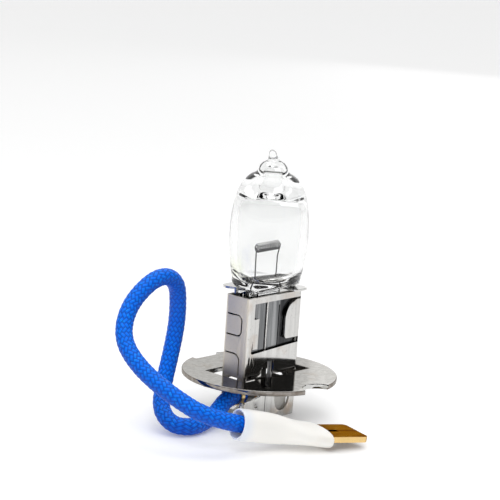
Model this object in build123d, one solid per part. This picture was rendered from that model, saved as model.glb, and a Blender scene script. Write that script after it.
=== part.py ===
from build123d import *
import math
import os

# Headlight bulb with a 22 mm seat flange, a braided lead and a flat blade terminal.
# Millimetres. +Z runs along the bulb's axis towards the glass tip.
# X lies along the wide side of the sheet-metal holder, and -Y is the windowed front.
# The origin is the centre of the base's lower edge.

# --- driving dimensions --------------------------------------------------------------
SEAT_Z = 6.6            # top face of the seat flange above the base's lower edge
FLANGE_R = 11.0
FLANGE_T = 0.7
NOTCH_R = 2.55          # half width of both keying notches
NOTCH_FLOOR = 8.8       # distance of the notch floors from the axis

HOLDER_W = 11.4         # along X
HOLDER_D = 4.4          # along Y
HOLDER_CORNER = 0.6
SHEET = 0.35            # sheet-metal thickness of holder and base
HOLDER_TOP = 11.45      # above the seat
SLOT = 0.22             # width of the cut round each lanced tab

GLASS_R = 5.5
GLASS_WALL = 1.05
GLASS_TIP = 31.6        # tip of the exhaust stub above the seat
THROAT_LOW = 12.4       # where the flat pinch widens into the round bulb
THROAT_TOP = 14.5
CAVITY_LOW = 13.2       # lower and upper ends of the gas space
CAVITY_TOP = 29.35
PINCH_W = 9.0
PINCH_D = 2.7
PINCH_LOW = 2.6         # lower end of the pinch above the seat

COIL_Z = 18.0           # light centre above the seat
COIL_L = 4.5
COIL_R = 0.65
LEAD_X = 2.2            # half distance between the two leads

CABLE_R = 1.2
CORE_R = 0.5            # stranded conductor
BLADE_W = 6.3
BLADE_T = 0.8
TIP_POINT = Vector(1.6, -16.9, 1.3)
HEADING = -18.8         # of the terminal's axis, in the floor plane
BLADE_DROP = 4.5        # degrees that the blade falls towards its tip
SLEEVE_DROP = 11.5      # degrees that the sleeve's axis falls
BEND_FROM_TIP = 7.7     # where the terminal bends from one slope to the other
SLEEVE_L = 13.3
SLEEVE_BEND = 11.5      # the bend's place along the sleeve, from its mouth
CRIMP_START = 3.2       # the cable's end inside the sleeve, from its mouth

# The cable's route, from the ferrule inside the base to the terminal's crimp.
ROUTE = [
    (-3.4, 0.0, 3.65), (-6.2, 0.0, 3.9), (-9.4, -0.6, 1.9), (-12.8, -1.2, 1.25),
    (-15.6, -1.3, 1.25), (-16.9, 0.7, 1.5), (-16.4, 3.3, 3.0), (-14.2, 5.0, 5.8),
    (-12.2, 5.8, 9.8), (-11.2, 6.0, 13.6), (-11.2, 6.0, 17.0), (-12.0, 5.7, 19.6),
    (-14.4, 5.4, 21.1), (-17.6, 5.5, 20.5), (-21.2, 5.8, 17.4), (-23.4, 4.5, 13.6),
    (-23.9, 0.6, 10.6), (-22.9, -4.6, 7.8),
]


# --- small helpers ---------------------------------------------------------------------
def block(x0, x1, y0, y1, z0, z1):
    """A box between two corners, with z measured from the seat."""
    size = (x1 - x0, y1 - y0, z1 - z0)
    centre = Location(((x0 + x1) / 2, (y0 + y1) / 2, SEAT_Z + (z0 + z1) / 2))
    return centre * Box(*size)


def half_turn(shape):
    """The same shape turned half a turn about the bulb's axis."""
    return shape.rotate(Axis.Z, 180)


def front_cutter(outline, depth):
    """An outline in X and z-from-seat, cut inward from the front face."""
    face = make_face(outline)
    start = -HOLDER_D / 2 - 0.3
    plane = Plane(origin=(0, start, SEAT_Z), x_dir=(1, 0, 0), z_dir=(0, -1, 0))
    return extrude(plane * face, amount=-depth - 0.3)


def rounded_tube(z0, z1):
    """The holder's footprint as a rounded rectangular tube, z from the seat."""
    outer = RectangleRounded(HOLDER_W, HOLDER_D, HOLDER_CORNER)
    inner = RectangleRounded(HOLDER_W - 2 * SHEET, HOLDER_D - 2 * SHEET, HOLDER_CORNER - SHEET)
    return extrude(Plane.XY.offset(SEAT_Z + z0) * (outer - inner), amount=z1 - z0)


def wire_along(points, radius, radii):
    """A round wire through the points, with one fillet radius for each corner."""
    path = FilletPolyline(*points, radius=radii) if len(points) > 2 else Line(*points)
    start = Plane(origin=path @ 0, z_dir=path % 0)
    return sweep(start * Circle(radius), path=path)


def direction(drop):
    """A unit vector along the terminal's heading, falling by the given degrees."""
    heading = math.radians(HEADING)
    fall = math.radians(drop)
    flat = math.cos(fall)
    return Vector(math.cos(heading) * flat, math.sin(heading) * flat, -math.sin(fall))


BLADE_DIR = direction(BLADE_DROP)
SLEEVE_DIR = direction(SLEEVE_DROP)
SIDE_DIR = Vector(-math.sin(math.radians(HEADING)), math.cos(math.radians(HEADING)), 0)
BEND_POINT = TIP_POINT - BLADE_DIR * BEND_FROM_TIP
MOUTH_POINT = BEND_POINT - SLEEVE_DIR * SLEEVE_BEND


def sleeve_plane(along):
    """A plane across the sleeve's axis, at a distance from the sleeve's mouth."""
    return Plane(origin=MOUTH_POINT + SLEEVE_DIR * along, x_dir=SIDE_DIR, z_dir=SLEEVE_DIR)


def ferrule_plane(along):
    """A plane across the cable's axis inside the base, from the cable's end."""
    first = Vector(*ROUTE[0])
    inward = (first - Vector(*ROUTE[1])).normalized()
    return Plane(origin=first + inward * along, x_dir=(0, 1, 0), z_dir=inward)


def ring_along(plane, outer, inner, length):
    """A round tube that starts on a plane and runs along its normal."""
    return extrude(plane * (Circle(outer) - Circle(inner)), amount=length)


# --- seat flange -------------------------------------------------------------------------
def make_seat_flange():
    body = Location((0, 0, SEAT_Z - FLANGE_T)) * Cylinder(
        FLANGE_R, FLANGE_T, align=(Align.CENTER, Align.CENTER, Align.MIN))
    round_notch = Location((0, -NOTCH_FLOOR - NOTCH_R, SEAT_Z)) * Cylinder(NOTCH_R, 3)
    mouth = block(-NOTCH_R, NOTCH_R, -FLANGE_R - 1, -NOTCH_FLOOR - NOTCH_R, -1.5, 1)
    square_notch = block(-NOTCH_R, NOTCH_R, NOTCH_FLOOR + 1.0, FLANGE_R + 1, -1.5, 1)
    opening = block(-6.4, 7.3, -3.2, 4.6, -1.5, 1)
    body = body - round_notch - mouth - square_notch - opening
    rim = [e for e in body.edges().filter_by(GeomType.CIRCLE) if e.radius > FLANGE_R - 0.01]
    return chamfer(rim, 0.1)


# --- upper holder --------------------------------------------------------------------------
def holder_window():
    """The stepped window, with the slots above and below the tab that run up to the right side."""
    right = HOLDER_W / 2 - SHEET
    lines = Polyline(
        (-3.3, 4.1), (-3.3, 8.4), (-4.3, 8.4), (-4.3, 10.6), (right, 10.6), (right, 10.3), (4.3, 10.3))
    tab_top = ThreePointArc((4.3, 10.3), (2.92, 9.35), (2.35, 7.7))
    tab_side = Line((2.35, 7.7), (2.35, 5.3))
    tab_low = ThreePointArc((2.35, 5.3), (2.5, 4.95), (2.85, 4.8))
    slot = Polyline((2.85, 4.8), (right, 4.8), (right, 4.0), (-4.3, 3.45))
    slot_end = ThreePointArc((-4.3, 3.45), (-4.62, 3.77), (-4.3, 4.1))
    closing = Line((-4.3, 4.1), (-3.3, 4.1))
    return lines + tab_top + tab_side + tab_low + slot + slot_end + closing


def arch_window():
    """The small arched window at the foot of the front."""
    sides = Polyline((-0.85, 2.0), (0.35, 2.0), (0.35, -0.3), (-2.15, -0.3), (-2.15, 0.9))
    return sides + ThreePointArc((-2.15, 0.9), (-1.75, 1.7), (-0.85, 2.0))


def lanced_tab(near, low, high, radius):
    """The cut round a tab that stays joined to the sheet at the back corner."""
    back = HOLDER_D / 2 - HOLDER_CORNER
    line = FilletPolyline((-back, high), (near, high), (near, low), (-back, low), radius=radius)
    return trace(line, line_width=SLOT)


def make_holder_shell():
    shell = rounded_tube(0.0, HOLDER_TOP)
    leg_zone = rounded_tube(-FLANGE_T, 0.0)
    between_x = block(-3.4, 3.4, -3, 3, -1, 0)
    between_y = block(-6, 6, -0.9, 0.9, -1, 0)
    legs = leg_zone - between_x - between_y
    shell = shell + legs
    window = front_cutter(holder_window(), 1.3)
    arch = front_cutter(arch_window(), 1.0)
    plane = Plane(origin=(-HOLDER_W / 2 - 0.3, 0, SEAT_Z), x_dir=(0, -1, 0), z_dir=(-1, 0, 0))
    upper_tab = extrude(plane * lanced_tab(1.1, 5.95, 8.85, 0.75), amount=-1.0)
    lower_line = FilletPolyline((HOLDER_CORNER - HOLDER_D / 2, 3.35), (1.0, 3.35), (1.0, 0.35), radius=1.0)
    lower_tab = extrude(plane * trace(lower_line, line_width=SLOT), amount=-1.0)
    for cutter in (window, arch, upper_tab, lower_tab):
        shell = shell - cutter - half_turn(cutter)
    return shell


# --- pinch clips: two sheet springs that clasp the pinch, each with an ear -----------------
CLIP_FACE = 1.42        # inner face, just off the pinch
CLIP_T = 0.3
EAR_Z = 12.3


def make_clip_front():
    outer = -CLIP_FACE - CLIP_T
    plate = block(-4.3, 4.6, outer, -CLIP_FACE, 2.4, 10.9)
    plate = plate - block(-1.55, -1.25, -3, 0, 3.6, 11.5)
    plate = plate - block(1.25, 1.45, -3, 0, 3.6, 9.8)
    neck = block(1.2, 4.5, outer, -CLIP_FACE, 10.9, EAR_Z)
    ear_flat = Polyline((1.9, -1.72), (1.9, -3.6)) + ThreePointArc((1.9, -3.6), (2.1, -4.0), (2.5, -4.15))
    ear_flat += Line((2.5, -4.15), (3.8, -4.15)) + ThreePointArc((3.8, -4.15), (4.6, -3.8), (4.9, -3.0))
    ear_flat += Polyline((4.9, -3.0), (4.5, -1.72), (1.9, -1.72))
    ear = extrude(Plane.XY.offset(SEAT_Z + EAR_Z - CLIP_T) * make_face(ear_flat), amount=CLIP_T)
    foot = block(2.6, 4.2, -HOLDER_D / 2 + SHEET, outer, 2.4, 3.2)
    return plate + neck + ear + foot


# --- glass ----------------------------------------------------------------------------------
def lathed(wall, top, bottom):
    """A turned solid. The wall is a smooth line through (radius, z-from-seat) points."""
    points = [(r, SEAT_Z + z) for r, z in wall]
    foot = Polyline(points[-1], (0, SEAT_Z + top), (0, SEAT_Z + bottom), points[0])
    return revolve(Plane.XZ * make_face([Spline(*points), foot]), axis=Axis.Z)


# Outside of the bulb: throat, belly, shoulder, small dome and the sealed-off stub.
ENVELOPE_WALL = [
    (4.35, THROAT_LOW), (4.95, 14.3), (5.4, 17.2), (GLASS_R, 19.6), (5.44, 21.6), (5.2, 23.8), (4.75, 25.6),
    (4.1, 27.0), (3.2, 27.95), (2.4, 28.4), (2.05, 28.8), (1.9, 29.3), (1.55, 29.75), (1.1, 30.0),
    (0.78, 30.3), (0.6, 30.8), (0.45, 31.3), (0.15, GLASS_TIP),
]
# Gas space, with the closed end of the exhaust channel that reaches up into the small dome.
CAVITY_WALL = [
    (2.0, CAVITY_LOW), (3.4, 14.0), (4.2, 16.0), (GLASS_R - GLASS_WALL, 18.8), (4.44, 21.4), (4.25, 23.6),
    (3.75, 24.8), (2.8, 25.35), (1.95, 25.8), (1.6, 26.6), (1.5, 27.6), (1.4, 28.5), (1.0, 29.15),
    (0.3, CAVITY_TOP),
]


WEDGE_REACH = 8.0       # well clear of the glass


def throat_wedge():
    """Takes the front of the throat down to the pinch's face on a slant."""
    half = PINCH_D / 2
    low = THROAT_LOW - 0.4
    corners = [(half, low), (half, THROAT_LOW), (GLASS_R + 0.1, THROAT_TOP), (WEDGE_REACH, THROAT_TOP),
               (WEDGE_REACH, low)]
    lifted = [(y, SEAT_Z + z) for y, z in corners]
    return extrude(Plane.YZ * make_face(Polyline(*lifted, close=True)), amount=12, both=True)


def make_glass(inner_parts):
    body = lathed(ENVELOPE_WALL, GLASS_TIP, THROAT_LOW)
    body = body - throat_wedge() - half_turn(throat_wedge())
    pinch = block(-PINCH_W / 2, PINCH_W / 2, -PINCH_D / 2, PINCH_D / 2, PINCH_LOW, THROAT_LOW + 0.6)
    body = body + fillet(pinch.edges().filter_by(Axis.Z), 1.2)
    body = body - lathed(CAVITY_WALL, CAVITY_TOP, CAVITY_LOW)
    for piece in inner_parts:
        body = body - piece
    return body


# --- filament, leads and foils -----------------------------------------------------------------
LEG_R = 0.09
FOIL_W = 1.9
FOIL_T = 0.1
OUTER_LEAD_R = 0.35


def at_seat(x, z):
    """A point in the leads' plane, z from the seat."""
    return Vector(x, 0, SEAT_Z + z)


def make_coil():
    plane = Plane(origin=at_seat(-COIL_L / 2, COIL_Z), x_dir=(0, 1, 0), z_dir=(1, 0, 0))
    return ring_along(plane, COIL_R, COIL_R - 0.22, COIL_L)


def make_leg_left():
    reach = COIL_L / 2 + LEG_R + 0.01
    points = [at_seat(-reach, COIL_Z), at_seat(-LEAD_X, 11.0)]
    return wire_along(points, LEG_R, [])


def make_leg_right():
    reach = COIL_L / 2 + LEG_R + 0.01
    kink = [at_seat(2.75, COIL_Z), at_seat(LEAD_X, 16.5)]
    points = [at_seat(reach, COIL_Z + 0.2), *kink, at_seat(LEAD_X, 11.0)]
    return wire_along(points, LEG_R, [0.15, 0.6])


def make_foil(x):
    return block(x - FOIL_W / 2, x + FOIL_W / 2, -FOIL_T / 2, FOIL_T / 2, 5.2, 11.0)


def make_lead_left():
    return wire_along([at_seat(-LEAD_X, 5.2), at_seat(-LEAD_X, 0.4)], OUTER_LEAD_R, [])


def make_lead_right():
    joint_end = ferrule_plane(JOINT_START + JOINT_L - 0.4).origin
    inward = ferrule_plane(0).z_dir
    reach = (LEAD_X - joint_end.X) / inward.X
    corner = joint_end + inward * reach
    return wire_along([at_seat(LEAD_X, 5.2), corner, joint_end], OUTER_LEAD_R, [0.8])


# --- base below the flange: two like halves, each turned half a turn from the other -------------
BASE_LOW = -SEAT_Z
SEAM_X = -0.9           # the seam between the halves, on the front


def make_base_left():
    tube = rounded_tube(BASE_LOW, -FLANGE_T)
    front_part = block(-6, SEAM_X - 0.06, -3, 0, BASE_LOW - 1, 1)
    back_part = block(-6, -SEAM_X - 0.06, 0, 3, BASE_LOW - 1, 1)
    half = tube & (front_part + back_part)
    cable_side = block(-6, -4.3, -1.7, 1.7, BASE_LOW + 0.9, 1)
    front_step = Polyline((-6, -3.45), (-3.7, -3.35), (-2.1, -3.0))
    front_step += ThreePointArc((-2.1, -3.0), (-1.6, -2.6), (-1.45, -1.9))
    front_step += Polyline((-1.45, -1.9), (-1.45, 0.5), (-6, 0.5), (-6, -3.45))
    oval = Polyline((-4.35, 0.5), (-4.35, -1.8), (-4.35, -2.9))
    oval += Spline((-4.35, -2.9), (-2.7, -5.65), (-1.05, -2.9), tangents=[(0, -1), (0, 1)])
    oval += Polyline((-1.05, -2.9), (-1.05, 0.5), (-4.35, 0.5))
    back_oval = half_turn(front_cutter(oval.mirror(Plane.YZ), 1.0))
    dimple = Location((-2.76, -HOLDER_D / 2 - 0.35, SEAT_Z - 4.25)) * Sphere(0.5)
    half = half - cable_side - front_cutter(front_step, 1.0) - back_oval - dimple
    foot = block(-9.2, -4.45, 0.4, 2.0, -FLANGE_T - SHEET, -FLANGE_T)
    foot += block(-6.9, -4.9, -3.4, 4.9, -FLANGE_T - SHEET, -FLANGE_T)
    foot_end = Location((-9.2, 1.2, SEAT_Z - FLANGE_T - SHEET / 2)) * Cylinder(0.8, SHEET)
    return half + foot + foot_end


def make_base_insulator(channel):
    body = block(0.3, 4.6, -1.65, 1.65, BASE_LOW + 0.3, -1.3)
    body = fillet(body.edges().filter_by(Axis.Z), 0.6)
    return body - channel


LUG_LEFT = -1.25        # sides of the lug behind the arched window
LUG_RIGHT = 0.15


def make_earth_lug():
    plate = block(LUG_LEFT, LUG_RIGHT, -1.15, -0.85, -0.5, 2.3)
    shelf = block(LUG_LEFT, LUG_RIGHT, -HOLDER_D / 2 + SHEET, -0.85, 2.0, 2.3)
    tongue = block(-2.6, LUG_LEFT + 0.5, -0.85, -OUTER_LEAD_R, 0.4, 0.8)
    hole = Location(((LUG_LEFT + LUG_RIGHT) / 2, -1.0, SEAT_Z + 0.65)) * Rot(90, 0, 0) * Cylinder(0.2, 1)
    return plate + shelf + tongue - hole


# --- crimped joint of cable and lead ---------------------------------------------------------------
FERRULE_R = 0.95
FERRULE_L = 1.8
JOINT_START = 2.5
JOINT_L = 1.1


def make_ferrule():
    body = ring_along(ferrule_plane(0), FERRULE_R, CORE_R, FERRULE_L)
    for start in (0.45, 0.9, 1.35):
        groove = ring_along(ferrule_plane(start - 0.09), FERRULE_R + 0.1, FERRULE_R - 0.15, 0.18)
        body = body - groove
    return body


def make_base_core():
    return extrude(ferrule_plane(0) * Circle(CORE_R), amount=JOINT_START + 0.5)


def make_lead_joint(inner_parts):
    body = extrude(ferrule_plane(JOINT_START) * Circle(0.75), amount=JOINT_L)
    for piece in inner_parts:
        body = body - piece
    return body


def make_cable_clamp():
    """A brass claw round the cable where it leaves the base."""
    plane = ferrule_plane(-1.5)
    return ring_along(plane, CABLE_R + 0.25, CABLE_R, 0.6)


# --- cable, terminal and its sleeve -------------------------------------------------------------------
def route_points():
    points = [Vector(*p) for p in ROUTE]
    points.append(MOUTH_POINT - SLEEVE_DIR * 3.9)
    points.append(MOUTH_POINT + SLEEVE_DIR * CRIMP_START)
    return points


def bend_radii(points):
    """The largest radius that each corner's two runs allow."""
    radii = []
    for before, here, after in zip(points, points[1:], points[2:]):
        arriving = here - before
        leaving = after - here
        turn = math.radians(arriving.get_angle(leaving))
        shorter = min(arriving.length, leaving.length)
        radii.append(0.45 * shorter / math.tan(turn / 2))
    return radii


def make_cable():
    points = route_points()
    radii = bend_radii(points)
    path = FilletPolyline(*points, radius=radii)
    start = Plane(origin=path @ 0, z_dir=path % 0)
    tube = sweep(start * Circle(CABLE_R), path=path)
    expected = math.pi * CABLE_R ** 2 * path.length
    print("cable length", round(path.length, 2))
    print("cable radii", [round(r, 1) for r in radii])
    print("cable volume", round(tube.volume, 2), "expected", round(expected, 2))
    return tube


def make_terminal_core():
    return extrude(sleeve_plane(CRIMP_START) * Circle(CORE_R), amount=3.3)


def make_blade_terminal():
    tilt = Plane(origin=TIP_POINT, x_dir=BLADE_DIR, z_dir=SIDE_DIR.cross(BLADE_DIR) * -1)
    half = BLADE_W / 2
    corner = 0.45
    blade_line = Polyline(
        (-8.0, -half), (-corner, -half), (0, -half + corner), (0, half - corner), (-corner, half),
        (-8.0, half), (-9.4, 1.3), (-9.4, -1.3), (-8.0, -half))
    slot_hole = Location((-4.3, 0)) * SlotOverall(2.2, 0.75)
    sheet = extrude(tilt * (make_face(blade_line) - slot_hole), amount=BLADE_T / 2, both=True)
    neck_plane = Plane(origin=MOUTH_POINT, x_dir=SLEEVE_DIR, z_dir=SIDE_DIR.cross(SLEEVE_DIR) * -1)
    neck_face = Location((8.3, 0)) * Rectangle(3.6, 1.3)
    neck = extrude(neck_plane * neck_face, amount=0.25, both=True)
    barrel = ring_along(sleeve_plane(CRIMP_START), 0.8, CORE_R, 3.4)
    core = make_terminal_core()
    return sheet + (neck - core) + barrel


def make_terminal_sleeve():
    def hull(grow):
        round_w = 3.6 + 2 * grow
        flat_w = 7.1 + 2 * grow
        flat_h = 1.8 + 2 * grow
        round_face = RectangleRounded(round_w, round_w, round_w / 2 - 0.02)
        flat_face = RectangleRounded(flat_w, flat_h, flat_h / 2 - 0.02)
        rear = extrude(sleeve_plane(0) * round_face, amount=6.6)
        middle = loft([sleeve_plane(6.6) * round_face, sleeve_plane(10.4) * flat_face])
        front = extrude(sleeve_plane(10.4) * flat_face, amount=SLEEVE_L - 10.4)
        return rear + middle + front
    return hull(0.35) - hull(0.0)


# --- assembly -------------------------------------------------------------------------------------------
def build_nodes():
    clip_front = make_clip_front()
    legs = [make_leg_left(), make_leg_right()]
    foils = [make_foil(-LEAD_X), make_foil(LEAD_X)]
    leads = [make_lead_left(), make_lead_right()]
    base_left = make_base_left()
    base_core = make_base_core()
    channel = block(LEAD_X - 0.6, LEAD_X + 0.6, -0.6, 0.6, -6, 0)
    channel = channel + block(-1, LEAD_X, -0.6, 0.6, -5.2, 0)
    return {
        "seat_flange": make_seat_flange(),
        "holder_shell": make_holder_shell(),
        "pinch_clip_front": clip_front,
        "pinch_clip_rear": half_turn(clip_front),
        "glass_envelope": make_glass(legs + foils + leads),
        "filament_coil": make_coil(),
        "filament_leg_left": legs[0],
        "filament_leg_right": legs[1],
        "seal_foil_left": foils[0],
        "seal_foil_right": foils[1],
        "outer_lead_left": leads[0],
        "outer_lead_right": leads[1],
        "base_shell_left": base_left,
        "base_shell_right": half_turn(base_left),
        "base_insulator": make_base_insulator(channel),
        "earth_lug": make_earth_lug(),
        "crimp_ferrule": make_ferrule(),
        "cable_core_base": base_core,
        "lead_joint": make_lead_joint([base_core, leads[1]]),
        "cable_clamp": make_cable_clamp(),
        "cable_sheath": make_cable(),
        "cable_core_terminal": make_terminal_core(),
        "blade_terminal": make_blade_terminal(),
        "terminal_sleeve": make_terminal_sleeve(),
    }


def main():
    os.makedirs("parts", exist_ok=True)
    for name, shape in build_nodes().items():
        export_step(shape, "parts/" + name + ".step")


main()
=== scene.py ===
import math

import bpy
import numpy as np
from mathutils import Matrix, Vector


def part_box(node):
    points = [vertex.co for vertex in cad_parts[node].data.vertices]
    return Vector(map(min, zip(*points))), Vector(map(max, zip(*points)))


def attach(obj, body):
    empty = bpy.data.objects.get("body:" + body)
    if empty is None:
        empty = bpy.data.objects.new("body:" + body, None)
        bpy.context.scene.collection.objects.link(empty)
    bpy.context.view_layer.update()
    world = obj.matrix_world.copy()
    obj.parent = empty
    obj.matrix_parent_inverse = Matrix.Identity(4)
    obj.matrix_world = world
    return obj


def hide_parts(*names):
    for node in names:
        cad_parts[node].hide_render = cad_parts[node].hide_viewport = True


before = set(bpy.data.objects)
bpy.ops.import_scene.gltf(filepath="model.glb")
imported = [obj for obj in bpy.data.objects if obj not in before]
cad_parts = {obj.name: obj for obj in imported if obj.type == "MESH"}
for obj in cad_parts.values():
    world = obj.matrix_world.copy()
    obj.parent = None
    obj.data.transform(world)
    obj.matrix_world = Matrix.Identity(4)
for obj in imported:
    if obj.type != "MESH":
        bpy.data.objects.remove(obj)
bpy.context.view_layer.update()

bl_info = {
    "name": "Headlight Bulb with Lead",
    "version": (1, 0, 0),
    "blender": (4, 5, 0),
    "location": "View3D > Sidebar > Bulb",
    "description": "A flanged halogen headlight bulb with a braided lead and a sleeved blade terminal",
    "category": "Add Mesh",
}

MM = 0.001
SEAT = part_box("seat_flange")[1].z
AXIS = Vector((0.0, 0.0, SEAT))


# --- settings -------------------------------------------------------------------------------------
def length(label, description, millimetres):
    """A length property, kept in metres."""
    return bpy.props.FloatProperty(
        name=label, description=description, default=millimetres * MM, min=0.0, precision=5,
        subtype="DISTANCE", unit="LENGTH")


def colour(label, description, red, green, blue):
    return bpy.props.FloatVectorProperty(
        name=label, description=description, default=(red, green, blue), min=0.0, max=1.0, size=3,
        subtype="COLOR")


class StudioSettings(bpy.types.PropertyGroup):
    distance: length("Camera distance", "From the seat flange to the camera", 300.0)
    azimuth: bpy.props.FloatProperty(
        name="Azimuth", description="Camera direction round the bulb's axis",
        default=math.radians(-49.3), subtype="ANGLE")
    elevation: bpy.props.FloatProperty(
        name="Elevation", description="Camera height above the floor",
        default=math.radians(14.68), subtype="ANGLE")
    lean: bpy.props.FloatProperty(
        name="Lean", description="Turn of the camera about its own line of sight",
        default=math.radians(4.0), subtype="ANGLE")
    lens: bpy.props.FloatProperty(
        name="Lens", description="Focal length", default=152.7, min=20.0, subtype="DISTANCE_CAMERA")
    floor: colour("Floor", "Colour of the table top", 0.93, 0.93, 0.93)


class LeadSettings(bpy.types.PropertyGroup):
    radius: length("Lead radius", "Outside radius of the braid", 1.2)
    relief: length("Braid relief", "How far the carriers stand out of the gaps", 0.10)
    carriers: bpy.props.IntProperty(
        name="Carriers", description="Yarn bundles that run each way round the lead", default=12, min=4)
    bright: colour("Yarn", "Colour of the yarn where light falls on it", 0.0, 0.20, 1.0)
    # the gap colour is painted shade: it darkens the dives, the carriers' edges and the lead's underside
    deep: colour("Gaps", "Colour between the carriers", 0.0, 0.04, 0.36)


class MetalSettings(bpy.types.PropertyGroup):
    edge: length("Edge rounding", "Width of the rounding on pressed edges", 0.05)
    nickel: colour("Nickel", "Colour of the plated sheet", 0.66, 0.655, 0.64)
    stain: colour("Heat stain", "Brown stains on the plated sheet", 0.42, 0.31, 0.22)
    brass: colour("Brass", "Colour of the blade's cut edges", 0.83, 0.58, 0.25)
    tarnish: colour("Tarnish", "Bronze film on the blade's faces", 0.20, 0.115, 0.045)


class BulbSettings(bpy.types.PropertyGroup):
    glass: colour("Glass", "Tint of the quartz glass", 0.945, 0.95, 0.947)
    coil_turns: bpy.props.IntProperty(
        name="Coil turns", description="Turns of the filament coil", default=13, min=3)
    coil_wire: length("Coil wire", "Radius of the filament wire", 0.09)
    silicone: colour("Sleeve", "Colour of the terminal's sleeve", 0.97, 0.945, 0.89)


# --- picking and shaping --------------------------------------------------------------------------
def deselect():
    if bpy.context.object and bpy.context.object.mode != "OBJECT":
        bpy.ops.object.mode_set(mode="OBJECT")
    bpy.ops.object.select_all(action="DESELECT")


def activate(piece):
    deselect()
    piece.select_set(True)
    bpy.context.view_layer.objects.active = piece


def settle(piece):
    """Puts the piece's place into its mesh, so that its object sits at the origin."""
    activate(piece)
    bpy.ops.object.transform_apply(location=True, rotation=True, scale=True)


def face_outwards(piece, inward=False):
    activate(piece)
    bpy.ops.object.mode_set(mode="EDIT")
    bpy.ops.mesh.select_all(action="SELECT")
    bpy.ops.mesh.normals_make_consistent(inside=inward)
    bpy.ops.object.mode_set(mode="OBJECT")


def smooth(piece, degrees):
    activate(piece)
    bpy.ops.object.shade_smooth_by_angle(angle=math.radians(degrees))


def apply_modifier(piece, kind, **values):
    activate(piece)
    modifier = piece.modifiers.new(kind.title(), kind)
    for key, value in values.items():
        setattr(modifier, key, value)
    bpy.ops.object.modifier_apply(modifier=modifier.name)


def finish_piece(piece, name, material, slot, nodes=(), body="bulb"):
    piece.name = name
    piece.data.name = name
    piece.data.materials.clear()
    piece.data.materials.append(material)
    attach(piece, body)
    if nodes:
        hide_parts(*nodes)


def ring_body(name, rings, caps=True):
    """A circle pulled up ring by ring, each ring then laid on its own section."""
    around = len(rings[0])
    deselect()
    bpy.ops.mesh.primitive_circle_add(vertices=around, radius=1.0, fill_type="NOTHING")
    piece = bpy.context.object
    piece.name = name
    bpy.ops.object.mode_set(mode="EDIT")
    bpy.ops.mesh.select_all(action="SELECT")
    for _ in rings[1:]:
        bpy.ops.mesh.extrude_region_move(TRANSFORM_OT_translate={"value": (0.0, 0.0, 1.0)})
    bpy.ops.object.mode_set(mode="OBJECT")
    sections = np.array(rings)
    places = np.empty(len(piece.data.vertices) * 3)
    piece.data.vertices.foreach_get("co", places)
    places = places.reshape(-1, 3)
    level = np.rint(places[:, 2]).astype(int)
    turn = np.arctan2(places[:, 1], places[:, 0]) / (2 * math.pi) * around
    step = np.rint(turn).astype(int) % around
    piece.data.vertices.foreach_set("co", sections[level, step].ravel())
    piece.data.update()
    bpy.ops.object.mode_set(mode="EDIT")
    bpy.ops.mesh.select_mode(type="EDGE")
    bpy.ops.mesh.select_all(action="DESELECT")
    bpy.ops.mesh.select_non_manifold(extend=False)
    if caps:
        bpy.ops.mesh.edge_face_add()
    else:
        bpy.ops.mesh.bridge_edge_loops()
    bpy.ops.object.mode_set(mode="OBJECT")
    return piece


def flow(points, steps):
    """A smooth line through the points, with the given number of steps between each two."""
    places = np.array(points, float)
    ends = np.vstack([2 * places[0] - places[1], places, 2 * places[-1] - places[-2]])
    line = []
    for a, b, c, d in zip(ends, ends[1:], ends[2:], ends[3:]):
        for t in np.arange(steps) / steps:
            slope_in, slope_out = (c - a) / 2, (d - b) / 2
            line.append((2 * t**3 - 3 * t**2 + 1) * b + (t**3 - 2 * t**2 + t) * slope_in
                        + (3 * t**2 - 2 * t**3) * c + (t**3 - t**2) * slope_out)
    line.append(places[-1])
    return np.array(line)


def ease(value, low, high):
    t = min(1.0, max(0.0, (value - low) / (high - low)))
    return t * t * (3 - 2 * t)


def rounded_section(angles, half_wide, half_deep, power):
    """Points round an oval that squares up as the power grows."""
    wide = half_wide * np.sign(np.cos(angles)) * np.abs(np.cos(angles)) ** (2 / power)
    deep = half_deep * np.sign(np.sin(angles)) * np.abs(np.sin(angles)) ** (2 / power)
    return wide, deep


FOLD_ANGLE = 38         # degrees, above which two faces of a sheet meet at an edge


def pressed_copy(node, edge):
    """A copy of a sheet-metal node with its facets joined and its edges rounded."""
    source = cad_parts[node]
    piece = bpy.data.objects.new(node + "_pressed", source.data.copy())
    bpy.context.collection.objects.link(piece)
    activate(piece)
    bpy.ops.object.mode_set(mode="EDIT")
    bpy.ops.mesh.select_all(action="SELECT")
    bpy.ops.mesh.remove_doubles(threshold=0.002 * MM)
    bpy.ops.mesh.dissolve_limited(angle_limit=math.radians(0.02))
    bpy.ops.object.mode_set(mode="OBJECT")
    if edge:
        apply_modifier(piece, "BEVEL", width=edge, segments=2, limit_method="ANGLE",
                       angle_limit=math.radians(FOLD_ANGLE), use_clamp_overlap=True, miter_outer="MITER_ARC")
    smooth(piece, FOLD_ANGLE)
    apply_modifier(piece, "WEIGHTED_NORMAL", mode="FACE_AREA", weight=100, keep_sharp=True)
    return piece


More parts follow.
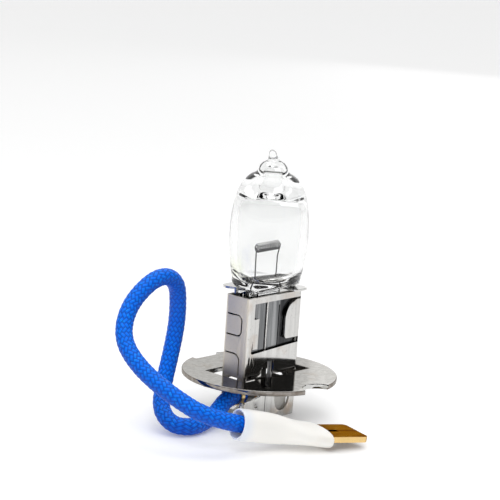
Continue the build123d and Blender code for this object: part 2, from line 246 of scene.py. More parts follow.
# --- shader benches -------------------------------------------------------------------------------
class Wire:
    """A shader socket. Arithmetic on it adds Math nodes."""

    def __init__(self, bench, socket):
        self.bench = bench
        self.socket = socket

    def math(self, operation, *values):
        return self.bench.add("ShaderNodeMath", {"operation": operation}, dict(enumerate(values)))

    def __add__(self, other):
        return self.math("ADD", self, other)

    def __sub__(self, other):
        return self.math("SUBTRACT", self, other)

    def __rsub__(self, other):
        return self.math("SUBTRACT", other, self)

    def __mul__(self, other):
        return self.math("MULTIPLY", self, other)

    def __mod__(self, other):
        return self.math("FLOORED_MODULO", self, other)

    def __lt__(self, other):
        return self.math("LESS_THAN", self, other)

    __radd__ = __add__
    __rmul__ = __mul__

    def floor(self):
        return self.math("FLOOR", self)

    def top(self, other):
        return self.math("MAXIMUM", self, other)

    def size(self):
        return self.math("ABSOLUTE", self)

    def ease(self, low, high):
        """0 below low, 1 above high, and a soft step between."""
        settings = {"interpolation_type": "SMOOTHSTEP"}
        return self.bench.add("ShaderNodeMapRange", settings,
                              {"Value": self, "From Min": low, "From Max": high})


class Bench:
    """A node tree, and the one way that nodes are added to it."""

    def __init__(self, tree):
        self.tree = tree

    def join(self, value, socket):
        if isinstance(value, Wire):
            self.tree.links.new(value.socket, socket)
        else:
            socket.default_value = value

    def add(self, kind, settings=None, inputs=None, output=0):
        node = self.tree.nodes.new(kind)
        for key, value in (settings or {}).items():
            setattr(node, key, value)
        for key, value in (inputs or {}).items():
            self.join(value, node.inputs[key])
        return Wire(self, node.outputs[output])

    def place(self, scale=(1.0, 1.0, 1.0), turn=(0.0, 0.0, 0.0)):
        """Object coordinates, stretched and turned."""
        here = self.add("ShaderNodeTexCoord", output="Object")
        return self.add("ShaderNodeMapping", None, {"Vector": here, "Scale": scale, "Rotation": turn})

    def part(self, vector, letter):
        return self.add("ShaderNodeSeparateXYZ", None, {0: vector}, letter)

    def noise(self, vector, scale, detail=3.0, roughness=0.5):
        values = {"Vector": vector, "Scale": scale, "Detail": detail, "Roughness": roughness}
        return self.add("ShaderNodeTexNoise", None, values)

    def blend(self, factor, first, second):
        colours = {0: factor, 6: first, 7: second}
        return self.add("ShaderNodeMix", {"data_type": "RGBA"}, colours, output=2)

    def bump(self, height, strength, depth):
        return self.add("ShaderNodeBump", None, {"Height": height, "Strength": strength, "Distance": depth})


def surface(name):
    """A new material, its bench, and a way to set its shader's sockets."""
    material = bpy.data.materials.new(name)
    material.use_nodes = True
    bench = Bench(material.node_tree)
    shader = material.node_tree.nodes["Principled BSDF"]

    def dress(**values):
        for key, value in values.items():
            bench.join(value, shader.inputs[key.replace("_", " ")])
        return material

    return bench, dress


def opaque(values, shade=1.0):
    return tuple(v * shade for v in values) + (1.0,)


EDGE_TINT = (0.66, 0.65, 0.63)
SATIN_TONE = (0.72, 0.665, 0.585, 1.0)
RIM_TONE = (0.17, 0.14, 0.115, 1.0)
# near-black colour of the painted shade on the foot plates under the flange
UNDER_FLANGE_SHADE_TONE = (0.035, 0.032, 0.030, 1.0)
RIM_START, RIM_END = 10.86 * MM, 10.96 * MM


def plated_sheet(name, metal, roughness, stretch=(1.0, 1.0, 1.0), stains=0.4, dim=1.0, grain=0.5, satin=0.0,
                 rim=False, shade_under_flange=False):
    """Nickel-plated sheet with drawing marks, pin pricks and faint heat stains.

    The holder's narrow sides may be satin, the flange's cut rim browner, and the foot plates under the flange
    painted near black as shade.
    """
    bench, dress = surface(name)
    here = bench.place()
    drawn = bench.noise(bench.place(stretch), 1400, 4)
    cloud = bench.noise(here, 330, 3)
    pricks = bench.noise(here, 5200, 2).ease(0.62, 0.72)
    stain = cloud.ease(0.52, 0.74) * stains
    clean = bench.blend(drawn.ease(0.35, 0.65), opaque(metal.nickel, dim * 0.86), opaque(metal.nickel, dim))
    colour_now = bench.blend(stain, clean, opaque(metal.stain))
    colour_now = bench.blend(pricks * 0.6, colour_now, opaque(metal.nickel, dim * 0.5))
    height = drawn * grain + pricks * 0.6
    dull = cloud * 0.06 + (drawn * 0.06 + roughness)
    if satin:
        side = bench.part(here, "X").size().ease(5.35 * MM, 5.62 * MM)
        dull = dull + side * satin
        colour_now = bench.blend(side * (1 - pricks * 0.5), colour_now, SATIN_TONE)
    if rim:
        x, y = bench.part(here, "X"), bench.part(here, "Y")
        outer = (x * x + y * y).ease(RIM_START ** 2, RIM_END ** 2)
        colour_now = bench.blend(outer * (drawn.ease(0.3, 0.7) * 0.35 + 0.6), colour_now, RIM_TONE)
    # painted shade: the foot plates below the seat flange are coloured near black and dulled, standing in for
    # the shade under the flange
    if shade_under_flange:
        under = bench.part(here, "Z").ease(SEAT - 1.2 * MM, SEAT - 1.04 * MM)
        colour_now = bench.blend(under * 0.96, colour_now, UNDER_FLANGE_SHADE_TONE)
        dull = dull + under * 0.4
    return dress(Base_Color=colour_now, Metallic=1.0, Roughness=dull, Specular_Tint=opaque(EDGE_TINT),
                 Normal=bench.bump(height, 0.04, 0.01 * MM))


def plain_metal(name, tint, roughness, scale=2200, wear=0.35):
    bench, dress = surface(name)
    fine = bench.noise(bench.place(), scale, 3)
    cloud = bench.noise(bench.place(), scale / 6, 2)
    body = bench.blend(fine.ease(0.3, 0.7), opaque(tint, 1 - wear), opaque(tint))
    return dress(Base_Color=body, Metallic=1.0, Roughness=cloud * 0.15 + roughness,
                 Normal=bench.bump(fine, 0.2, 0.01 * MM))


# --- stage ----------------------------------------------------------------------------------------
AIM_UP = math.radians(3.257)
AIM_LEFT = math.radians(0.252)
BACKDROP_HEADING = Vector((0.758, 0.652, 0.0))
ROOM_WHITE, ROOM_DARK = 0.93, 0.03
CEILING = 1.15          # the ceiling's brightness beside the backdrop's
FILL_LAMP = "front_fill"


class BULB_OT_stage(bpy.types.Operator):
    """Camera, table top, lights and the studio around the bulb"""
    bl_idname = "bulb.stage"
    bl_label = "Stage"

    def execute(self, context):
        studio = context.scene.bulb_studio
        back = Vector((math.sin(studio.azimuth) * math.cos(studio.elevation),
                       -math.cos(studio.azimuth) * math.cos(studio.elevation), math.sin(studio.elevation)))
        deselect()
        bpy.ops.object.camera_add()
        camera = context.object
        turn = back.to_track_quat("Z", "Y").to_matrix().to_4x4()
        turn = turn @ Matrix.Rotation(studio.lean, 4, "Z")
        turn = turn @ Matrix.Rotation(AIM_UP, 4, "X") @ Matrix.Rotation(AIM_LEFT, 4, "Y")
        camera.matrix_world = Matrix.Translation(AXIS + back * studio.distance) @ turn
        camera.data.lens = studio.lens
        camera.data.sensor_width = 36.0
        camera.data.clip_start = 0.01
        camera.data.clip_end = 20.0
        context.scene.camera = camera
        context.scene.view_settings.view_transform = "Standard"
        self.table(studio)
        self.lights()
        self.room(context)
        return {"FINISHED"}

    def table(self, studio):
        deselect()
        bpy.ops.mesh.primitive_plane_add(size=8.0)
        table = bpy.context.object
        table.name = "table_top"
        bench, dress = surface("table_white")
        grain = bench.noise(bench.place(), 900, 2)
        shade = bench.blend(grain, opaque(studio.floor, 0.995), opaque(studio.floor))
        table.data.materials.append(dress(Base_Color=shade, Roughness=0.6, Specular_IOR_Level=0.1,
                                          Emission_Color=(1, 1, 1, 1), Emission_Strength=0.15))

    def lights(self):
        lamps = (
            (FILL_LAMP, (-0.26, -0.20, 0.26), (0.24, 0.24), 0.78),
            ("overhead", (0.05, 0.02, 0.40), (0.16, 0.16), 0.14),
            ("left_panel", (-0.34, 0.16, 0.20), (0.10, 0.34), 0.07),
            ("right_panel", (0.36, 0.20, 0.16), (0.14, 0.30), 0.05),
        )
        for name, place, size, power in lamps:
            deselect()
            bpy.ops.object.light_add(type="AREA", location=place)
            lamp = bpy.context.object
            lamp.name = name
            lamp.data.shape = "RECTANGLE"
            lamp.data.size, lamp.data.size_y = size
            lamp.data.energy = power
            toward = Vector((0.0, 0.0, 0.015)) - lamp.location
            lamp.rotation_euler = toward.to_track_quat("-Z", "Y").to_euler()
            lamp.visible_glossy = lamp.visible_transmission = name != FILL_LAMP

    def room(self, context):
        """White behind and above, dark on the camera's side, white wherever the camera looks."""
        world = bpy.data.worlds.new("studio")
        world.use_nodes = True
        context.scene.world = world
        bench = Bench(world.node_tree)
        way = bench.add("ShaderNodeTexCoord", output="Generated")
        behind = bench.add("ShaderNodeVectorMath", {"operation": "DOT_PRODUCT"},
                           {0: way, 1: BACKDROP_HEADING}, output="Value")
        above = bench.part(way, "Z")
        white = behind.ease(0.25, 0.42).top(above.ease(0.60, 0.80) * CEILING)
        seen = bench.add("ShaderNodeLightPath", output="Is Camera Ray")
        level = (white * ROOM_WHITE + ROOM_DARK) * (1 - seen) + seen
        back = world.node_tree.nodes["Background"]
        bench.join(level, back.inputs["Strength"])
        back.inputs["Color"].default_value = (1, 1, 1, 1)


# --- lead -----------------------------------------------------------------------------------------
TIP = Vector((0.0016, -0.0169, 0.0013))
HEADING = math.radians(-18.8)
BLADE_DROP = math.radians(4.5)
SLEEVE_DROP = math.radians(11.5)
BEND_FROM_TIP = 0.0077
SLEEVE_BEND = 0.0115
CRIMP_START = 0.0032


def falling(drop):
    flat = math.cos(drop)
    return Vector((math.cos(HEADING) * flat, math.sin(HEADING) * flat, -math.sin(drop)))


BLADE_WAY = falling(BLADE_DROP)
SLEEVE_WAY = falling(SLEEVE_DROP)
SIDE_WAY = Vector((-math.sin(HEADING), math.cos(HEADING), 0.0))
MOUTH = TIP - BLADE_WAY * BEND_FROM_TIP - SLEEVE_WAY * SLEEVE_BEND

# From the crimp inside the base to the crimp inside the sleeve, in metres.
ROUTE = [Vector(p) for p in (
    (-0.0034, 0.0, 0.00365), (-0.0062, 0.0, 0.0039), (-0.0094, -0.0006, 0.0019),
    (-0.0128, -0.0012, 0.00125), (-0.0156, -0.0013, 0.00125), (-0.0169, 0.0007, 0.0015),
    (-0.0164, 0.0033, 0.0030), (-0.0142, 0.0050, 0.0058), (-0.0122, 0.0058, 0.0098),
    (-0.0112, 0.0060, 0.0136), (-0.0112, 0.0060, 0.0170), (-0.0120, 0.0057, 0.0196),
    (-0.0144, 0.0054, 0.0211), (-0.0176, 0.0055, 0.0205), (-0.0212, 0.0058, 0.0174),
    (-0.0234, 0.0045, 0.0136), (-0.0239, 0.0006, 0.0106), (-0.0229, -0.0046, 0.0078),
)] + [MOUTH - SLEEVE_WAY * 0.0039, MOUTH + SLEEVE_WAY * CRIMP_START]
RING_STEP = 0.10 * MM
RING_POINTS = 72
FLOAT = 2               # cells that a carrier passes over before it dives under


def route_line(points):
    """Points along the lead's smooth centreline, evenly spaced."""
    curve = bpy.data.curves.new("lead_route", "CURVE")
    curve.dimensions = "3D"
    curve.resolution_u = 24
    spline = curve.splines.new("NURBS")
    spline.points.add(len(points) - 1)
    for knot, place in zip(spline.points, points):
        knot.co = (place.x, place.y, place.z, 1.0)
    spline.order_u = 3
    spline.use_endpoint_u = True
    holder = bpy.data.objects.new("lead_route", curve)
    bpy.context.collection.objects.link(holder)
    bpy.context.view_layer.update()
    mesh = bpy.data.meshes.new_from_object(holder)
    line = np.array([v.co[:] for v in mesh.vertices])
    bpy.data.objects.remove(holder)
    bpy.data.meshes.remove(mesh)
    gone = np.concatenate([[0], np.cumsum(np.linalg.norm(np.diff(line, axis=0), axis=1))])
    even = np.linspace(0, gone[-1], int(gone[-1] / RING_STEP) + 1)
    return np.stack([np.interp(even, gone, line[:, k]) for k in range(3)], axis=1), even


def carried_frames(line):
    """Two directions across the line at each point, carried along without twist."""
    ways = np.gradient(line, axis=0)
    ways /= np.linalg.norm(ways, axis=1)[:, None]
    across = np.cross(ways[0], (0.0, 0.0, 1.0))
    firsts = []
    for way in ways:
        across = across - way * np.dot(across, way)
        across /= np.linalg.norm(across)
        firsts.append(across)
    firsts = np.array(firsts)
    return firsts, np.cross(ways, firsts)


def braid_height(along, around):
    """Height of the braid, 0 to 1, over cells that run each way round the lead."""
    a, b = along + around, along - around
    cell = np.mod(np.floor(a) + np.floor(b), 2 * FLOAT)
    over = cell < FLOAT
    run = np.where(over, cell + np.mod(b, 1), cell - FLOAT + np.mod(a, 1)) / FLOAT
    side = np.where(over, np.mod(a, 1), np.mod(b, 1)) * 2 - 1
    return np.sqrt(1 - 0.9 * side**2) * (0.45 + 0.55 * np.sin(math.pi * run))


class BULB_OT_lead(bpy.types.Operator):
    """The braided lead from the base to the terminal"""
    bl_idname = "bulb.lead"
    bl_label = "Lead"

    def execute(self, context):
        lead = context.scene.bulb_lead
        line, gone = route_line(ROUTE)
        firsts, seconds = carried_frames(line)
        pitch = 2 * math.pi * lead.radius / lead.carriers * 1.15
        turns = np.arange(RING_POINTS) / RING_POINTS
        along, around = np.meshgrid(gone / pitch, turns * lead.carriers, indexing="ij")
        height = braid_height(along, around)
        radius = lead.radius - lead.relief * (1 - height)
        angle = 2 * math.pi * turns
        spread = (np.cos(angle)[None, :, None] * firsts[:, None]
                  + np.sin(angle)[None, :, None] * seconds[:, None])
        places = line[:, None] + radius[:, :, None] * spread
        rings = len(line)
        faces, marks = [], []
        for i in range(rings - 1):
            for j in range(RING_POINTS):
                k = (j + 1) % RING_POINTS
                faces.append((i * RING_POINTS + j, i * RING_POINTS + k, (i + 1) * RING_POINTS + k,
                              (i + 1) * RING_POINTS + j))
                marks += [(i, j), (i, j + 1), (i + 1, j + 1), (i + 1, j)]
        faces.append(tuple(reversed(range(RING_POINTS))))
        faces.append(tuple(range((rings - 1) * RING_POINTS, rings * RING_POINTS)))
        mesh = bpy.data.meshes.new("cable_braid")
        mesh.from_pydata(places.reshape(-1, 3).tolist(), [], faces)
        layer = mesh.uv_layers.new(name="braid")
        steps = np.array(marks, float)
        flat = np.zeros((len(mesh.loops), 2))
        flat[:len(steps), 0] = gone[steps[:, 0].astype(int)] / pitch
        flat[:len(steps), 1] = steps[:, 1] / RING_POINTS * lead.carriers
        layer.data.foreach_set("uv", flat.ravel())
        piece = bpy.data.objects.new("cable_braid", mesh)
        context.collection.objects.link(piece)
        smooth(piece, 60)
        finish_piece(piece, "cable_braid", self.yarn(lead), "blue_braid", ["cable_sheath"])
        tuple(ROUTE[0])
        return {"FINISHED"}

    def yarn(self, lead):
        """Glossy synthetic yarn in two directions, with painted shade where the carriers dive, at their edges
        and on the lead's underside, and painted cyan glints.
        """
        bench, dress = surface("blue_braid_yarn")
        flat = bench.add("ShaderNodeUVMap", {"uv_map": "braid"})
        along, around = bench.part(flat, "X"), bench.part(flat, "Y")
        a, b = along + around, along - around
        cell = (a.floor() + b.floor()) % (2 * FLOAT)
        over = cell < FLOAT
        side = (a % 1) * over + (b % 1) * (1 - over)
        run = ((cell + b % 1) * over + (cell - FLOAT + a % 1) * (1 - over)) * (1 / FLOAT)
        dive = (run - 0.5).size() * 2
        edge = (side - 0.5).size() * 2
        strand = ((side * 4) % 1 - 0.5).size() * 2
        flecks = bench.noise(bench.place(), 3800, 3)
        # painted shade: the yarn is darkened towards the gap colour where the carriers dive and at their
        # edges
        depth = (dive.ease(0.45, 1.0) * 0.75).top(edge.ease(0.6, 1.0) * 0.9)
        shade = (depth + strand * 0.22 + flecks.ease(0.55, 0.8) * 0.25) * 0.9
        body = bench.blend(shade, opaque(lead.bright), opaque(lead.deep))
        glint = flecks.ease(0.56, 0.70) * (1 - depth) * 0.6
        body = bench.blend(glint, body, (0.01, 0.46, 1.0, 1.0))
        # painted shade: faces turned downward are darkened towards the gap colour
        below = bench.part(bench.add("ShaderNodeNewGeometry", output="Normal"), "Z").ease(-0.35, 0.75)
        body = bench.blend((1 - below) * 0.55, body, opaque(lead.deep))
        return dress(Base_Color=body, Roughness=flecks * 0.2 + 0.38, Specular_IOR_Level=0.22,
                     Normal=bench.bump((1 - strand) * 0.6 + flecks * 0.5, 0.5, 0.03 * MM))


# --- glass ----------------------------------------------------------------------------------------
GLASS_AROUND = 128
# Radius and height above the seat, in millimetres.
BULB_WALL = (
    (4.3, 12.3), (4.75, 13.3), (5.08, 14.9), (5.42, 17.4), (5.5, 19.6), (5.44, 21.6), (5.2, 23.8),
    (4.75, 25.6), (4.1, 27.0), (3.2, 27.95), (2.4, 28.4), (2.05, 28.8), (1.9, 29.3), (1.55, 29.75),
    (1.1, 30.0),
    (0.78, 30.3), (0.6, 30.8), (0.45, 31.3), (0.12, 31.6),
)
GAS_WALL = (
    (0.5, 13.05), (2.2, 13.15), (3.3, 13.6), (3.95, 14.6), (4.28, 16.4), (4.45, 19.5), (4.44, 21.4),
    (4.25, 23.6), (3.75, 24.8), (2.8, 25.35), (1.95, 25.8), (1.6, 26.6), (1.5, 27.6), (1.4, 28.5),
    (1.0, 29.15), (0.15, 29.35),
)
TINTED_WAY = (0.652, -0.758)    # heading away from the wall that carries a yellow-green tint
FLARE_LOW, FLARE_HIGH = 11.6, 13.4
PINCH_HALF_WIDE, PINCH_HALF_DEEP = 4.5, 1.35
PINCH_RINGS = (2.6, 3.0, 4.5, 6.5, 8.5, 10.5, 11.4, 11.8, 12.1)


class BULB_OT_glass(bpy.types.Operator):
    """The quartz envelope, from the pinch to the sealed tip"""
    bl_idname = "bulb.glass"
    bl_label = "Glass envelope"

    def execute(self, context):
        angles = np.arange(GLASS_AROUND) / GLASS_AROUND * 2 * math.pi
        walls = [(4.3, z) for z in PINCH_RINGS] + [tuple(p) for p in flow(BULB_WALL, 5)]
        rings = []
        for radius, z in walls:
            flat = 1 - ease(z, FLARE_LOW, FLARE_HIGH)
            power = 2 + 5 * flat
            wide, deep = rounded_section(angles, PINCH_HALF_WIDE * flat + radius * (1 - flat),
                                         PINCH_HALF_DEEP * flat + radius * (1 - flat), power)
            lean = 0.28 * ease(z, 29.8, 31.6)
            rings.append(np.stack([(wide - 0.65 * lean) * MM, (deep + 0.76 * lean) * MM,
                                   np.full_like(wide, SEAT + z * MM)], axis=1))
        rings[0][:, :2] *= 0.93
        outer = ring_body("glass_bulb", rings)
        face_outwards(outer)
        rings = []
        for radius, z in flow(GAS_WALL, 4):
            squeeze = 1 - 0.22 * (1 - ease(z, 13.0, 14.8))
            rings.append(np.stack([radius * np.cos(angles) * MM, radius * squeeze * np.sin(angles) * MM,
                                   np.full_like(angles, SEAT + z * MM)], axis=1))
        inner = ring_body("gas_space", rings)
        face_outwards(inner, inward=True)
        activate(outer)
        inner.select_set(True)
        bpy.ops.object.join()
        smooth(outer, 60)
        finish_piece(outer, "glass_bulb", self.quartz(context.scene.bulb_parts), "clear_glass",
                     ["glass_envelope"])
        return {"FINISHED"}

    def quartz(self, parts):
        bench, dress = surface("quartz_clear")
        here = bench.place()
        low = 1 - bench.part(here, "Z").ease(SEAT + 13.0 * MM, SEAT + 17.5 * MM)
        cloud = bench.noise(here, 260, 2)
        across = bench.part(here, "X") * TINTED_WAY[0] + bench.part(here, "Y") * TINTED_WAY[1]
        wall = 1 - across.ease(-4.9 * MM, -3.5 * MM)
        tint = bench.blend(low * cloud.ease(0.2, 0.6) * wall, opaque(parts.glass), (0.80, 0.84, 0.60, 1.0))
        waves = bench.noise(bench.place((1.0, 1.0, 0.45)), 190, 1)
        return dress(Base_Color=tint, Transmission_Weight=1.0, IOR=1.42, Roughness=0.0,
                     Normal=bench.bump(waves, 0.06, 0.05 * MM))


# --- filament -------------------------------------------------------------------------------------
COIL_HEIGHT = 18.0
COIL_HALF = 2.24


class BULB_OT_filament(bpy.types.Operator):
    """The tungsten coil, its legs, the seal foils and the leads below them"""
    bl_idname = "bulb.filament"
    bl_label = "Filament"

    def execute(self, context):
        parts = context.scene.bulb_parts
        coil_radius = 0.65 * MM - parts.coil_wire
        deselect()
        bpy.ops.mesh.primitive_circle_add(
            vertices=10, radius=parts.coil_wire, fill_type="NGON",
            location=(0.0, 0.0, coil_radius), rotation=(math.radians(90), 0.0, 0.0))
        coil = context.object
        settle(coil)
        bpy.ops.object.mode_set(mode="EDIT")
        bpy.ops.mesh.select_all(action="SELECT")
        bpy.ops.mesh.delete(type="ONLY_FACE")
        bpy.ops.object.mode_set(mode="OBJECT")
        apply_modifier(coil, "SCREW", axis="X", angle=2 * math.pi, iterations=parts.coil_turns, steps=26,
                       render_steps=26, screw_offset=2 * COIL_HALF * MM / parts.coil_turns,
                       use_normal_calculate=True)
        for vertex in coil.data.vertices:
            vertex.co.x -= COIL_HALF * MM
            vertex.co.z += SEAT + COIL_HEIGHT * MM
        activate(coil)
        bpy.ops.object.mode_set(mode="EDIT")
        bpy.ops.mesh.select_mode(type="EDGE")
        bpy.ops.mesh.select_all(action="DESELECT")
        bpy.ops.mesh.select_non_manifold(extend=False)
        bpy.ops.mesh.edge_face_add()
        bpy.ops.object.mode_set(mode="OBJECT")
        face_outwards(coil)
        smooth(coil, 50)
        wire = self.tungsten()
        finish_piece(coil, "coil_wire", wire, "tungsten", ["filament_coil"])
        foil = plain_metal("molybdenum_foil", (0.62, 0.60, 0.58), 0.28, 2600)
        lead = plain_metal("lead_wire", (0.50, 0.49, 0.48), 0.35, 2600)
        for node, material in (
                ("filament_leg_left", wire), ("filament_leg_right", wire), ("seal_foil_left", foil),
                ("seal_foil_right", foil), ("outer_lead_left", lead), ("outer_lead_right", lead)):
            dress_node(node, material)
        return {"FINISHED"}


    def tungsten(self):
        """Drawn tungsten, with a painted highlight along the top of the coil and painted shade below."""
        bench, dress = surface("tungsten_wire")
        here = bench.place()
        level = bench.part(here, "Z") - (SEAT + COIL_HEIGHT * MM)
        fine = bench.noise(here, 4200, 3)
        # painted light: the top of the coil is coloured bright and the underside near black, standing in for
        # highlight and shade
        top = level.ease(-0.1 * MM, 0.42 * MM)
        body = bench.blend(top, (0.06, 0.06, 0.065, 1.0), (0.66, 0.66, 0.66, 1.0))
        return dress(Base_Color=body, Metallic=1.0, Roughness=fine * 0.1 + 0.14,
                     Normal=bench.bump(fine, 0.2, 0.01 * MM))


def dress_node(node, material):
    """A node that keeps its own shape gets its finish here."""
    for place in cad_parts[node].material_slots:
        place.material = material


# --- sheet metal ----------------------------------------------------------------------------------
class BULB_OT_metal(bpy.types.Operator):
    """The seat flange, holder, clips, base halves and earth lug"""
    bl_idname = "bulb.metal"
    bl_label = "Pressed metal"

    def execute(self, context):
        metal = context.scene.bulb_metal
        flange = plated_sheet("flange_nickel", metal, 0.03, stains=0.25, rim=True)
        holder = plated_sheet("holder_nickel", metal, 0.03, (1.0, 1.0, 0.05), stains=0.35, grain=0.9,
                              satin=0.34)
        clip = self.spring(metal)
        base = plated_sheet("base_nickel", metal, 0.08, (1.0, 1.0, 0.06), stains=0.7, dim=0.95, grain=0.8,
                            shade_under_flange=True)
        sheets = (
            ("seat_flange", flange, "nickel_plate", 1.0), ("holder_shell", holder, "nickel_plate", 1.0),
            ("pinch_clip_front", clip, "spring_steel", 0.8), ("pinch_clip_rear", clip, "spring_steel", 0.8),
            ("base_shell_left", base, "nickel_plate", 0.9), ("base_shell_right", base, "nickel_plate", 0.9),
            ("earth_lug", base, "nickel_plate", 0.8),
        )
        for node, material, slot, share in sheets:
            piece = pressed_copy(node, metal.edge * share)
            finish_piece(piece, node + "_pressed", material, slot, [node])
        return {"FINISHED"}

    def spring(self, metal):
        """Dark rolled spring steel, with a painted highlight line beside the clip's long slot and painted
        shadow past it below the top edge.
        """
        bench, dress = surface("clip_steel")
        here = bench.place()
        x, y = bench.part(here, "X"), bench.part(here, "Y")
        side = x * (y.math("SIGN", y) * (-1 / MM))
        drawn = bench.noise(bench.place((1.0, 1.0, 0.04)), 1500, 4)
        edge = (side + 1.12).size()
        # painted highlight: a bright, rougher line along the slot's edge stands in for a highlight
        painted_highlight_line = 1 - edge.ease(0.08, 0.16)
        shadow = side.ease(1.3, 1.6) * (1 - bench.part(here, "Z").ease(SEAT + 10.6 * MM, SEAT + 10.9 * MM))
        body = bench.blend(drawn.ease(0.3, 0.7), (0.10, 0.105, 0.11, 1.0), (0.34, 0.345, 0.35, 1.0))
        body = bench.blend(shadow * 0.85, body, (0.02, 0.02, 0.022, 1.0))
        body = bench.blend(painted_highlight_line, body, opaque(metal.nickel, 1.45))
        high = bench.part(here, "Z").ease(SEAT + 11.2 * MM, SEAT + 11.6 * MM)
        body = bench.blend(high, body, opaque(metal.nickel))
        rough = painted_highlight_line * 0.4 + drawn * 0.12 + 0.16
        return dress(Base_Color=body, Metallic=1.0, Roughness=rough, Normal=bench.bump(drawn, 0.3, 0.03 * MM))


# --- joint inside the base ------------------------------------------------------------------------
class BULB_OT_joint(bpy.types.Operator):
    """The ceramic block, ferrule, core and clamp where the lead enters the base"""
    bl_idname = "bulb.joint"
    bl_label = "Lead joint"

    def execute(self, context):
        bench, dress = surface("ceramic")
        fine = bench.noise(bench.place(), 2400, 4)
        shade = bench.blend(fine, (0.74, 0.72, 0.68, 1.0), (0.86, 0.85, 0.82, 1.0))
        # painted shade: the block is coloured near black from about 1.9 mm under the seat upwards, standing
        # in for the shade under the flange
        painted_shade_upper = bench.part(bench.place(), "Z").ease(SEAT - 2.4 * MM, SEAT - 1.9 * MM)
        shade = bench.blend(painted_shade_upper, shade, (0.05, 0.046, 0.042, 1.0))
        ceramic = dress(Base_Color=shade, Roughness=0.65, Normal=bench.bump(fine, 0.4, 0.03 * MM))
        dress_node("base_insulator", ceramic)
        tin = plain_metal("tinned_ferrule", (0.74, 0.73, 0.70), 0.25)
        core = plain_metal("copper_core", (0.80, 0.40, 0.22), 0.28, 3800)
        joint = plain_metal("brazed_joint", (0.85, 0.55, 0.30), 0.32)
        clamp = plain_metal("clamp_brass", (0.86, 0.64, 0.32), 0.22)
        for node, material in (("crimp_ferrule", tin), ("cable_core_base", core), ("lead_joint", joint),
                               ("cable_clamp", clamp), ("cable_core_terminal", core)):
            dress_node(node, material)
        return {"FINISHED"}


# --- terminal -------------------------------------------------------------------------------------
SLEEVE_AROUND = 64
SLEEVE_STATIONS = (0.0, 0.12, 0.5, 1.5, 2.8, 4.2, 5.6, 6.6, 7.4, 8.2, 9.0, 9.8, 10.6, 11.6, 12.6, 13.1, 13.3)
SLEEVE_SKIN = 0.35
SLOT_FROM_TIP = 4.3 * MM
SLOT_HALF_LONG, SLOT_HALF_WIDE = 1.1 * MM, 0.40 * MM
SLOT_SHADE_AND_SEAM_TONE = (0.012, 0.008, 0.005, 1.0)
BRASS_EDGE_TINT = (0.42, 0.27, 0.12, 1.0)


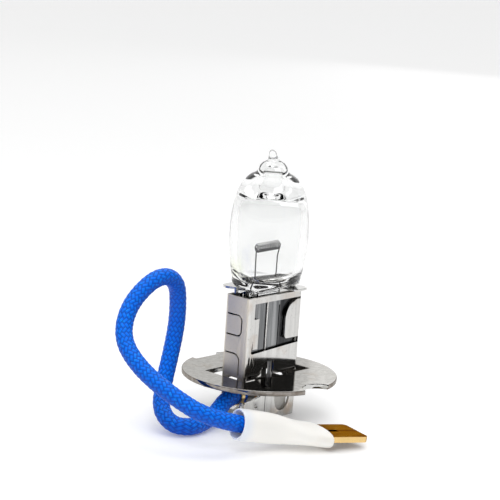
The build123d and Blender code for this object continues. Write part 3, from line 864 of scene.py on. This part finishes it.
class BULB_OT_terminal(bpy.types.Operator):
    """The brass blade and its silicone sleeve"""
    bl_idname = "bulb.terminal"
    bl_label = "Terminal"

    def execute(self, context):
        self.blade(context.scene.bulb_metal)
        self.sleeve(context.scene.bulb_parts)
        return {"FINISHED"}

    def blade(self, metal):
        piece = pressed_copy("blade_terminal", metal.edge)
        bench, dress = surface("blade_brass")
        turned = bench.place((1.0, 1.0, 1.0), (0.0, 0.0, -HEADING))
        drawn = bench.add("ShaderNodeMapping", None, {"Vector": turned, "Scale": (0.06, 1.0, 1.0)})
        grain = bench.noise(drawn, 2600, 4, 0.6)
        cloud = bench.noise(turned, 420, 3)
        upward = bench.part(bench.add("ShaderNodeNewGeometry", output="Normal"), "Z").size().ease(0.75, 0.97)
        film = upward * (grain.ease(0.3, 0.7) * 0.25 + 0.72)
        body = bench.blend(film, opaque(metal.brass), opaque(metal.tarnish))
        body = bench.blend(cloud.ease(0.55, 0.75) * 0.5, body, opaque(metal.brass, 0.45))
        offset = bench.add("ShaderNodeVectorMath", {"operation": "SUBTRACT"},
                           {0: bench.place(), 1: TIP - BLADE_WAY * SLOT_FROM_TIP}, output="Vector")
        along = bench.add("ShaderNodeVectorMath", {"operation": "DOT_PRODUCT"}, {0: offset, 1: BLADE_WAY},
                          output="Value")
        across = bench.add("ShaderNodeVectorMath", {"operation": "DOT_PRODUCT"}, {0: offset, 1: SIDE_WAY},
                           output="Value").size()
        ends = along.size().ease(SLOT_HALF_LONG, SLOT_HALF_LONG + 0.15 * MM)
        # painted shade: the slot's hole is coloured near black; the seam line towards the tip takes the same
        # dark tone
        hole = (1 - ends) * (1 - across.ease(SLOT_HALF_WIDE, SLOT_HALF_WIDE + 0.10 * MM))
        seam = along.ease(1.0 * MM, 1.1 * MM) * (1 - across.ease(0.05 * MM, 0.11 * MM)) * upward
        body = bench.blend(hole.top(seam * 0.8), body, SLOT_SHADE_AND_SEAM_TONE)
        brass = dress(Base_Color=body, Metallic=1.0, Specular_Tint=BRASS_EDGE_TINT,
                      Roughness=grain * 0.12 + (cloud * 0.12 + 0.16),
                      Normal=bench.bump(grain, 0.3, 0.02 * MM))
        finish_piece(piece, "blade_pressed", brass, "brass", ["blade_terminal"])

    def section(self, station, skin):
        """A ring across the sleeve, round at the mouth and flat where it grips the blade."""
        flat = ease(station, 5.2, 10.8)
        waist = 0.10 * math.exp(-((station - 6.2) / 1.6) ** 2)
        lip = 0.06 * (1 - ease(station, 0.0, 0.3)) + 0.05 * ease(station, 13.0, 13.3)
        half_wide = 2.15 + (3.9 - 2.15) * flat - waist - skin - (lip if skin == 0 else -lip)
        half_high = 2.15 + (1.25 - 2.15) * flat - waist - skin - (lip if skin == 0 else -lip)
        angles = np.arange(SLEEVE_AROUND) / SLEEVE_AROUND * 2 * math.pi
        wide, high = rounded_section(angles, half_wide, half_high, 2.0 + 0.7 * flat)
        middle = MOUTH + SLEEVE_WAY * station * MM
        up = SLEEVE_WAY.cross(SIDE_WAY)
        return (np.array(middle) + wide[:, None] * MM * np.array(SIDE_WAY)
                + high[:, None] * MM * np.array(up))

    def sleeve(self, parts):
        rings = [self.section(s, 0.0) for s in SLEEVE_STATIONS]
        rings += [self.section(s, SLEEVE_SKIN) for s in reversed(SLEEVE_STATIONS)]
        piece = ring_body("silicone_sleeve", rings, caps=False)
        face_outwards(piece)
        apply_modifier(piece, "SUBSURF", levels=1, render_levels=1)
        smooth(piece, 60)
        bench, dress = surface("silicone_white")
        here = bench.place()
        cloud = bench.noise(here, 300, 3)
        fine = bench.noise(here, 2400, 3)
        along = bench.add("ShaderNodeVectorMath", {"operation": "DOT_PRODUCT"},
                          {0: here, 1: SLEEVE_WAY}, output="Value")
        start = SLEEVE_WAY.dot(MOUTH)
        # painted light: the mouth end is tinted blue, standing in for the blue lead's colour showing through
        # the translucent silicone
        painted_blue_bleed = 1 - along.ease(start - 0.1 * MM, start + 2.2 * MM)
        warm = along.ease(start + 8.0 * MM, start + 13.0 * MM)
        body = bench.blend(painted_blue_bleed * 0.45, opaque(parts.silicone), (0.62, 0.74, 0.95, 1.0))
        body = bench.blend(warm * cloud.ease(0.4, 0.65) * 0.4, body, (0.93, 0.84, 0.70, 1.0))
        silicone = dress(Base_Color=body, Roughness=cloud * 0.15 + 0.32, Subsurface_Weight=0.35,
                         Subsurface_Scale=0.8 * MM, Subsurface_Radius=(1.0, 0.95, 0.9),
                         Normal=bench.bump(fine * 0.4 + cloud, 0.15, 0.05 * MM))
        finish_piece(piece, "silicone_sleeve", silicone, "white_silicone", ["terminal_sleeve"], "sleeve")


# --- panel and registration -----------------------------------------------------------------------
OPERATORS = (BULB_OT_stage, BULB_OT_terminal, BULB_OT_lead, BULB_OT_glass, BULB_OT_filament, BULB_OT_metal,
             BULB_OT_joint)
SETTINGS = (("bulb_studio", StudioSettings), ("bulb_lead", LeadSettings), ("bulb_metal", MetalSettings),
            ("bulb_parts", BulbSettings))


class BULB_PT_panel(bpy.types.Panel):
    bl_label = "Headlight bulb"
    bl_idname = "BULB_PT_panel"
    bl_space_type = "VIEW_3D"
    bl_region_type = "UI"
    bl_category = "Bulb"

    def draw(self, context):
        for operator in OPERATORS:
            self.layout.operator(operator.bl_idname)
        for name, group in SETTINGS:
            for key in group.__annotations__:
                self.layout.prop(getattr(context.scene, name), key)


def register():
    for _, group in SETTINGS:
        bpy.utils.register_class(group)
    for name, group in SETTINGS:
        setattr(bpy.types.Scene, name, bpy.props.PointerProperty(type=group))
    for kind in OPERATORS + (BULB_PT_panel,):
        bpy.utils.register_class(kind)


def unregister():
    for kind in reversed(OPERATORS + (BULB_PT_panel,)):
        bpy.utils.unregister_class(kind)
    for name, group in SETTINGS:
        delattr(bpy.types.Scene, name)
        bpy.utils.unregister_class(group)


def main():
    register()
    for operator in OPERATORS:
        area, name = operator.bl_idname.split(".")
        getattr(getattr(bpy.ops, area), name)()


if __name__ == "__main__":
    main()
